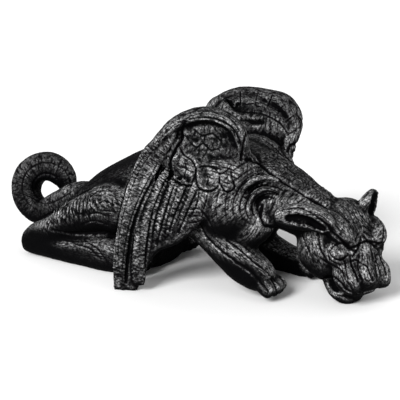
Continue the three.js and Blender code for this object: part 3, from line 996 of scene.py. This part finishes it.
def finish_tree(tree, geometry, material):
    """Ends a tree, with its copies made real and the stone's material on them."""
    real = node(tree, "GeometryNodeRealizeInstances", Geometry=geometry)
    finished = node(tree, "GeometryNodeSetMaterial", Geometry=real.outputs[0], Material=material)
    tree.links.new(finished.outputs[0], tree.nodes.new("NodeGroupOutput").inputs[0])
    return tree


def ridge_row_tree():
    """Low rounded ridges laid side by side along a path on the stone, each lying across the path."""
    tree = new_tree("Row of ridges", [
        ("Stone", "NodeSocketObject", None), ("Spacing", "NodeSocketFloat", 0.005),
        ("Length", "NodeSocketFloat", 0.012), ("Width", "NodeSocketFloat", 0.003),
        ("Height", "NodeSocketFloat", 0.0016), ("Lean", "NodeSocketFloat", 0.0), ("Seed", "NodeSocketInt", 1),
        ("Material", "NodeSocketMaterial", None),
    ])
    given = tree.nodes.new("NodeGroupInput").outputs
    spaced = node(
        tree, "GeometryNodeResampleCurve", {"mode": "LENGTH"}, Curve=given["Geometry"],
        Length=given["Spacing"],
    )
    points = node(tree, "GeometryNodeCurveToPoints", {"mode": "EVALUATED"}, Curve=spaced.outputs[0])
    stone = node(tree, "GeometryNodeObjectInfo", {"transform_space": "RELATIVE"}, Object=given["Stone"])
    place = tree.nodes.new("GeometryNodeInputPosition").outputs[0]
    surface = []
    for value in (place, tree.nodes.new("GeometryNodeInputNormal").outputs[0]):
        sample = tree.nodes.new("GeometryNodeSampleNearestSurface")
        sample.data_type = "FLOAT_VECTOR"
        tree.links.new(stone.outputs["Geometry"], sample.inputs[0])
        tree.links.new(value, sample.inputs["Value"])
        tree.links.new(place, sample.inputs["Sample Position"])
        surface.append(sample.outputs[0])
    laid = node(tree, "GeometryNodeSetPosition", Geometry=points.outputs["Points"], Position=surface[0])
    upright = node(tree, "FunctionNodeAlignRotationToVector", {"axis": "Z"}, Vector=surface[1])
    facing = node(
        tree, "FunctionNodeAlignRotationToVector", {"axis": "X", "pivot_axis": "Z"},
        Rotation=upright.outputs[0], Vector=points.outputs["Tangent"],
    )
    lean = node(tree, "ShaderNodeCombineXYZ", Z=given["Lean"])
    to_turn = tree.nodes.new("FunctionNodeEulerToRotation")
    tree.links.new(lean.outputs[0], to_turn.inputs[0])
    leaned = node(
        tree, "FunctionNodeRotateRotation", {"rotation_space": "LOCAL"}, Rotation=facing.outputs[0],
        Rotate_By=to_turn.outputs[0],
    )
    ball = node(tree, "GeometryNodeMeshUVSphere", Segments=10, Rings=6, Radius=0.5)
    size = node(tree, "ShaderNodeCombineXYZ", X=given["Width"], Y=given["Length"], Z=given["Height"])
    vary = node(tree, "FunctionNodeRandomValue", {"data_type": "FLOAT"})
    floats = [socket for socket in vary.inputs if socket.type == "VALUE" and socket.enabled]
    floats[0].default_value, floats[1].default_value = 0.8, 1.2
    tree.links.new(given["Seed"], vary.inputs["Seed"])
    varied = next(socket for socket in vary.outputs if socket.enabled)
    scale = vector_maths(tree, "SCALE", size.outputs[0], scale=varied)
    ridges = node(
        tree, "GeometryNodeInstanceOnPoints", Points=laid.outputs[0], Instance=ball.outputs[0],
        Rotation=leaned.outputs[0], Scale=scale,
    )
    return finish_tree(tree, ridges.outputs[0], given["Material"])


def dressed_surface_tree():
    """The dressed surface of the stone: shallow hammer dents and a fine pitted grain."""
    tree = new_tree("Dressed surface", [
        ("Dent Size", "NodeSocketFloat", 0.014), ("Dent Depth", "NodeSocketFloat", 0.0008),
        ("Grain Size", "NodeSocketFloat", 0.004), ("Grain Depth", "NodeSocketFloat", 0.0005),
        ("Seed", "NodeSocketFloat", 3.0), ("Material", "NodeSocketMaterial", None),
    ])
    given = tree.nodes.new("NodeGroupInput").outputs
    place = tree.nodes.new("GeometryNodeInputPosition").outputs[0]
    normal = tree.nodes.new("GeometryNodeInputNormal").outputs[0]
    heights = []
    for size, depth in (("Dent Size", "Dent Depth"), ("Grain Size", "Grain Depth")):
        noise = node(
            tree, "ShaderNodeTexNoise", {"noise_dimensions": "4D"}, Vector=place, W=given["Seed"],
            Scale=maths(tree, "DIVIDE", 1.0, given[size]), Detail=2.0,
        )
        centred = maths(tree, "SUBTRACT", noise.outputs[0], 0.5)
        heights.append(maths(tree, "MULTIPLY", centred, maths(tree, "MULTIPLY", given[depth], 2.0)))
    offset = vector_maths(tree, "SCALE", normal, scale=maths(tree, "ADD", *heights))
    moved = node(tree, "GeometryNodeSetPosition", Geometry=given["Geometry"], Offset=offset)
    return finish_tree(tree, moved.outputs[0], given["Material"])


def ridge_rows(name, paths, stone, material, seed, **sizes):
    """Rows of ridges laid along paths given in grid steps, as one object."""
    curve = bpy.data.curves.new(name, "CURVE")
    curve.dimensions = "3D"
    for path in paths:
        points = spline(path, np.linspace(0, 1, 12 * len(path))) * STEP
        line = curve.splines.new("POLY")
        line.points.add(len(points) - 1)
        line.points.foreach_set("co", np.c_[points, np.ones(len(points))].ravel())
    holder = add_object(name, curve)
    modifier = holder.modifiers.new("rows", "NODES")
    modifier.node_group = bpy.data.node_groups.get("Row of ridges") or ridge_row_tree()
    values = {"Stone": stone, "Seed": seed, "Material": material}
    values.update({label.title(): value for label, value in sizes.items()})
    set_inputs(modifier, values)
    mesh = evaluated_mesh(holder)
    bpy.data.objects.remove(holder)
    bpy.data.curves.remove(curve)
    return add_object(name, mesh)


# Stone.


def stone_material(finish):
    """Near-black stone, worn to a grey grain where the carving stands proud, with painted shade in hollows
    and painted light and shade by the way the stone faces.
    """
    if STONE in bpy.data.materials:
        return bpy.data.materials[STONE]
    material = bpy.data.materials.new(STONE)
    material.use_nodes = True
    tree = material.node_tree
    tree.nodes.clear()
    place = tree.nodes.new("ShaderNodeTexCoord").outputs["Object"]

    def stored(name, output):
        attribute = tree.nodes.new("ShaderNodeAttribute")
        attribute.attribute_name = name
        return attribute.outputs[output]

    def noise(size, detail, roughness=0.6, where=place):
        return node(
            tree, "ShaderNodeTexNoise", Vector=where, Scale=1 / size, Detail=detail, Roughness=roughness
        ).outputs[0]

    def ramp(value, low, high, start=0.0, end=1.0):
        made = node(
            tree, "ShaderNodeMapRange", Value=value, From_Min=low, From_Max=high, To_Min=start, To_Max=end
        )
        made.clamp = True
        return made.outputs[0]

    grain = noise(finish.grain_size, 3.0, 0.7)
    pits = noise(finish.grain_size * 0.6, 3.0, 0.7)
    strokes = noise(1.0, 2.0, 0.5, stored("strokes", "Vector"))
    cracks = maths(tree, "ABSOLUTE", maths(tree, "SUBTRACT", noise(0.010, 4.0, 0.62), 0.5))
    # What keeps the grey to a part of the stone: where each starts and is full, and the least that it leaves.
    # The first one also paints shade into hollows.
    masks = (
        (stored("raised", "Fac"), 0.25, 0.9, 0.0), (noise(0.026, 3.0), 0.3, 0.62, 0.6),
        (strokes, 0.38, 0.55, 0.10), (grain, 0.36, 0.62, 0.15), (cracks, 0.002, 0.022, 0.5),
    )
    # Painted light and shade: the grey's amount starts from where the stone lies and the way it faces.
    amount = stored("handled", "Fac")
    for value, low, high, least in masks:
        amount = maths(tree, "MULTIPLY", amount, ramp(value, low, high, least))
    colour = node(tree, "ShaderNodeMix", {"data_type": "RGBA"}, in0=maths(tree, "POWER", amount, 1.6))
    ends = [socket for socket in colour.inputs if socket.type == "RGBA"]
    ends[0].default_value = (*finish.dark, 1)
    ends[1].default_value = (*finish.grey, 1)
    blended = next(socket for socket in colour.outputs if socket.type == "RGBA")
    height = maths(tree, "MULTIPLY", grain, 0.5)
    for value, share in ((pits, 0.3), (strokes, 0.6)):
        height = maths(tree, "ADD", height, maths(tree, "MULTIPLY", value, share))
    bump = node(tree, "ShaderNodeBump", Height=height, Strength=finish.bump, Distance=0.001)
    shader = node(
        tree, "ShaderNodeBsdfPrincipled", Base_Color=blended, Normal=bump.outputs[0],
        Roughness=ramp(grain, 0.3, 0.7, finish.roughness - 0.1, finish.roughness + 0.14),
        Specular_IOR_Level=0.02,
    )
    output = tree.nodes.new("ShaderNodeOutputMaterial")
    tree.links.new(shader.outputs[0], output.inputs[0])
    return material


def floor_material(settings):
    material = bpy.data.materials.new("pale_floor")
    material.use_nodes = True
    shader = material.node_tree.nodes["Principled BSDF"]
    shader.inputs["Base Color"].default_value = (*settings.floor, 1)
    shader.inputs["Roughness"].default_value = 0.9
    return material


# Settings.


class StoneSizes(bpy.types.PropertyGroup):
    """Sizes of the carving"""

    voxel: bpy.props.FloatProperty(
        name="Voxel", description="Fineness of the fused stone", default=0.0014, min=0.0008, unit="LENGTH"
    )
    dent_depth: bpy.props.FloatProperty(
        name="Dent depth", description="Depth of the hammer dents", default=0.0007, unit="LENGTH"
    )
    grain_depth: bpy.props.FloatProperty(
        name="Grain depth", description="Depth of the pitted grain", default=0.0005, unit="LENGTH"
    )
    triangles: bpy.props.IntProperty(
        name="Triangles", description="Most triangles the finished figure may have", default=196000, min=10000
    )


class StoneFinish(bpy.types.PropertyGroup):
    """Colours and grain of the stone"""

    dark: bpy.props.FloatVectorProperty(
        name="Dark", description="Colour of the stone in its hollows", subtype="COLOR",
        default=(0.0008, 0.0008, 0.0010),
    )
    grey: bpy.props.FloatVectorProperty(
        name="Grey", description="Colour of the worn grain", subtype="COLOR",
        default=(0.60, 0.60, 0.605),
    )
    grain_size: bpy.props.FloatProperty(
        name="Grain size", description="Size of the stone's grain", default=0.0026, unit="LENGTH"
    )
    roughness: bpy.props.FloatProperty(
        name="Roughness", description="Roughness of the worn stone", default=0.66, min=0, max=1,
        subtype="FACTOR",
    )
    bump: bpy.props.FloatProperty(
        name="Bump", description="Strength of the grain's bump", default=0.8, min=0, max=1, subtype="FACTOR"
    )


class StageSettings(bpy.types.PropertyGroup):
    """Floor, light and camera"""

    floor: bpy.props.FloatVectorProperty(
        name="Floor", description="Colour of the floor", subtype="COLOR", default=(0.86, 0.86, 0.86)
    )
    key: bpy.props.FloatProperty(name="Key", description="Strength of the main light", default=4.2, min=0)
    around: bpy.props.FloatProperty(
        name="Around", description="Camera's angle round the figure", default=VIEW_AROUND, subtype="ANGLE"
    )
    above: bpy.props.FloatProperty(
        name="Above", description="Camera's angle over the floor", default=VIEW_ABOVE, subtype="ANGLE"
    )
    distance: bpy.props.FloatProperty(
        name="Distance", description="Camera to the figure", default=VIEW_DISTANCE, unit="LENGTH"
    )
    lens: bpy.props.FloatProperty(name="Lens", description="Focal length in millimetres", default=LENS)


# Operators.


# The body's forms are fused and evened out first, then the face's, and the crisp ones come last.
BODY = {
    "trunk", "belly", "neck", "upper_arm", "chest", "forearm", "thigh", "shank", "foot", "web",
    "wing_shoulder",
}
FACE = {"skull", "jaw", "brow", "pad", "cheek", "socket"}
BODY_ROUNDS, FACE_ROUNDS, LAST_ROUNDS = 45, 10, 4


class GARGOYLE_OT_rough_out(bpy.types.Operator):
    """Fuse the rounded forms into one block, cut its hollows and set it on the ground"""

    bl_idname = "gargoyle.rough_out"
    bl_label = "Rough out the figure"

    def execute(self, context):
        voxel = context.scene.stone_sizes.voxel
        forms = all_forms()
        crisp = {form.kind for form in forms} - BODY - FACE
        parts = []
        for kinds, rounds in ((BODY, BODY_ROUNDS), (FACE, FACE_ROUNDS), (crisp, 0)):
            shells = [form.shell() for form in forms if form.kind in kinds]
            parts.append(add_object(FIGURE, mesh_of(FIGURE, shells)))
            parts = [fused(joined(FIGURE, parts), voxel)]
            smooth(parts[0], rounds)
        block = largest_skin(parts[0])
        slab = np.array([(x, y, z) for x in (-500, 500) for y in (-500, 500) for z in (-200, 0)], float)
        sides = [(0, 1, 3, 2), (4, 6, 7, 5), (0, 4, 5, 1), (2, 3, 7, 6), (0, 2, 6, 4), (1, 5, 7, 3)]
        shells = [form.shell() for form in hollow_forms()] + [(slab, sides)]
        cut(block, add_object("hollows", mesh_of("hollows", shells)))
        fused(block, voxel)
        points = positions(block.data)
        middle = (points.min(0) + points.max(0)) / 2
        target = (np.array(CAD_BOX[0]) + np.array(CAD_BOX[1])) / 2
        context.scene["figure_shift"] = [float(target[0] - middle[0]), float(target[1] - middle[1])]
        smooth(block, LAST_ROUNDS)
        return {"FINISHED"}


# Rows of ridges, in metres: the barbs of the long feathers, and the skin ribs of the haunches and the neck
# with the paths that they follow, in grid steps.
BARBS = {"spacing": 0.0052, "length": 0.013, "width": 0.0030, "height": 0.0018}
BARB_LEAN = math.radians(38)
SKIN_ROWS = [
    ([(-190, -78, 66), (-168, -84, 78), (-146, -84, 88), (-126, -84, 96)],
     {"spacing": 0.0062, "length": 0.024, "width": 0.0036, "height": 0.0042, "lean": math.radians(-14)}),
    ([(-182, -80, 54), (-160, -84, 62), (-138, -84, 70)],
     {"spacing": 0.0075, "length": 0.018, "width": 0.0034, "height": 0.0036, "lean": math.radians(-20)}),
    ([(-120, -84, 92), (-100, -84, 98), (-84, -84, 96)],
     {"spacing": 0.0085, "length": 0.020, "width": 0.0040, "height": 0.0040, "lean": math.radians(24)}),
    ([(120, -30, 172), (150, -34, 156), (184, -36, 138), (208, -34, 122)],
     {"spacing": 0.0060, "length": 0.018, "width": 0.0024, "height": 0.0015, "lean": math.radians(58)}),
    ([(110, -8, 188), (150, -10, 170), (190, -12, 150), (214, -12, 132)],
     {"spacing": 0.0064, "length": 0.016, "width": 0.0024, "height": 0.0015, "lean": math.radians(48)}),
]


class GARGOYLE_OT_carve_rows(bpy.types.Operator):
    """Carve the repeated ridges: feather barbs and the skin ribs of the haunches and the neck"""

    bl_idname = "gargoyle.carve_rows"
    bl_label = "Carve the rows of ridges"

    def execute(self, context):
        voxel = context.scene.stone_sizes.voxel
        block = bpy.data.objects[FIGURE]
        material = stone_material(context.scene.stone_finish)
        rows = []
        for far in (False, True):
            for form in wing_forms(far):
                if form.kind != "feather":
                    continue
                centre, side, top, _, size = form.frames(np.linspace(0.04, 0.97, 12))
                for hand in (-1, 1):
                    path = centre + side * size[:, :1] * 0.45 * hand + top * size[:, 1:] * 1.2
                    lean = BARB_LEAN if (hand > 0) != far else -BARB_LEAN
                    rows.append(ridge_rows("barbs", [path], block, material, 5, lean=lean, **BARBS))
        for place in (list, other_side):
            for path, values in SKIN_ROWS:
                rows.append(ridge_rows("skin_rows", [place(path)], block, material, 7, **values))
        joined(FIGURE, [block] + rows)
        fused(block, voxel)
        return {"FINISHED"}


class GARGOYLE_OT_carve_lines(bpy.types.Operator):
    """Carve the single lines: feather edges, wrinkles, brows, lids, lips, tendons and toes"""

    bl_idname = "gargoyle.carve_lines"
    bl_label = "Carve the lines"

    def execute(self, context):
        block = bpy.data.objects[FIGURE]
        shift = np.array([*context.scene["figure_shift"], 0.0])
        surface = BVHTree.FromObject(block, bpy.context.evaluated_depsgraph_get())
        mesh = block.data
        points, outward = positions(mesh), normals(mesh)
        lift = np.zeros(len(points))
        groups = (
            (WING_LINES, "wing"), (FAR_WING_LINES, None), (NECK_LINES + throat_wrinkles(), "body"),
            (HEAD_LINES, "head"), (FORELEG_LINES, None), (HIND_LEG_LINES, "body"),
            (TAIL_LINES + tail_rings(), None),
        )
        # The word says on which frame a group is repeated on the far side.
        for lines, repeat in groups:
            for pixels, width, depth in lines:
                path = seen(surface, pixels, shift)
                if len(path) < 2:
                    continue
                for line in [path, far_copy(surface, path, repeat)] if repeat else [path]:
                    carve(points, lift, line, width * 0.001, depth * 0.001)
        set_positions(mesh, points + outward * lift[:, None])
        return {"FINISHED"}


class GARGOYLE_OT_finish_stone(bpy.types.Operator):
    """Dress the surface, wear it with painted light and shade, and hand the figure to the frame"""

    bl_idname = "gargoyle.finish_stone"
    bl_label = "Finish the stone"

    def execute(self, context):
        sizes = context.scene.stone_sizes
        block = bpy.data.objects[FIGURE]
        shift = np.array([*context.scene["figure_shift"], 0.0])
        material = stone_material(context.scene.stone_finish)
        dressing = block.modifiers.new("dressing", "NODES")
        dressing.node_group = dressed_surface_tree()
        set_inputs(dressing, {
            "Dent Depth": sizes.dent_depth, "Grain Depth": sizes.grain_depth, "Material": material,
        })
        applied(block)
        largest_skin(block)
        on_ground(block, shift)
        triangles = sum(len(face.vertices) - 2 for face in block.data.polygons)
        if triangles > sizes.triangles:
            thin = block.modifiers.new("thin", "DECIMATE")
            thin.ratio = sizes.triangles / triangles
            applied(block)
        on_ground(block, 0)
        mesh = block.data
        points = positions(mesh)
        # Painted shade in hollows, and painted light and shade by place and facing, stored for the stone's
        # colour.
        add_attribute(mesh, "raised", raised(mesh))
        add_attribute(mesh, "handled", painted_light_shade_and_wear(points, normals(mesh)))
        add_attribute(mesh, "strokes", stroke_places((points - shift) / STEP))
        mesh.shade_smooth()
        mesh.materials.clear()
        mesh.materials.append(material)
        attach(block, "root")
        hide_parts("gargoyle")
        return {"FINISHED"}


class GARGOYLE_OT_stage(bpy.types.Operator):
    """Lay the pale floor and set the lights and the camera"""

    bl_idname = "gargoyle.stage"
    bl_label = "Set the stage"

    def execute(self, context):
        scene = context.scene
        settings = scene.stage_settings
        mesh = bpy.data.meshes.new("floor")
        corners = [(x * FLOOR_HALF, y * FLOOR_HALF, 0) for x, y in ((-1, -1), (1, -1), (1, 1), (-1, 1))]
        mesh.from_pydata(corners, [], [(0, 1, 2, 3)])
        mesh.materials.append(floor_material(settings))
        add_object("floor", mesh)
        world = bpy.data.worlds.new("studio")
        world.use_nodes = True
        background = world.node_tree.nodes["Background"]
        background.inputs["Color"].default_value = (1, 1, 1, 1)
        background.inputs["Strength"].default_value = STUDIO_STRENGTH
        scene.world = world
        key = bpy.data.lights.new("key", "SUN")
        key.energy = settings.key
        key.angle = LAMP_SOFTNESS
        lamp = add_object("key", key)
        towards = Vector(view_axes(LAMP_AROUND, LAMP_ABOVE)[2])
        lamp.rotation_euler = towards.to_track_quat("Z", "Y").to_euler()
        lens = bpy.data.cameras.new("camera")
        lens.lens = settings.lens
        lens.sensor_width = SENSOR
        camera = add_object("camera", lens)
        away = Vector(view_axes(settings.around, settings.above)[2])
        camera.location = Vector(VIEW_TARGET) + away * settings.distance
        camera.rotation_euler = away.to_track_quat("Z", "Y").to_euler()
        scene.camera = camera
        scene.view_settings.view_transform = "Standard"
        return {"FINISHED"}


OPERATORS = (
    GARGOYLE_OT_rough_out, GARGOYLE_OT_carve_rows, GARGOYLE_OT_carve_lines, GARGOYLE_OT_finish_stone,
    GARGOYLE_OT_stage,
)


class GARGOYLE_PT_panel(bpy.types.Panel):
    """Steps and sizes of the gargoyle"""

    bl_idname = "GARGOYLE_PT_panel"
    bl_label = "Stone gargoyle"
    bl_space_type = "VIEW_3D"
    bl_region_type = "UI"
    bl_category = "Gargoyle"

    def draw(self, context):
        for operator in OPERATORS:
            self.layout.operator(operator.bl_idname)
        for group in ("stone_sizes", "stone_finish", "stage_settings"):
            settings = getattr(context.scene, group)
            for name in settings.__annotations__:
                self.layout.prop(settings, name)


GROUPS = {"stone_sizes": StoneSizes, "stone_finish": StoneFinish, "stage_settings": StageSettings}


def register():
    for name, group in GROUPS.items():
        bpy.utils.register_class(group)
        setattr(bpy.types.Scene, name, bpy.props.PointerProperty(type=group))
    for item in (*OPERATORS, GARGOYLE_PT_panel):
        bpy.utils.register_class(item)


def unregister():
    for item in reversed((*OPERATORS, GARGOYLE_PT_panel)):
        bpy.utils.unregister_class(item)
    for name, group in GROUPS.items():
        delattr(bpy.types.Scene, name)
        bpy.utils.unregister_class(group)


def main():
    register()
    bpy.ops.gargoyle.stage()
    bpy.ops.gargoyle.rough_out()
    bpy.ops.gargoyle.carve_rows()
    bpy.ops.gargoyle.carve_lines()
    bpy.ops.gargoyle.finish_stone()


if __name__ == "__main__":
    main()
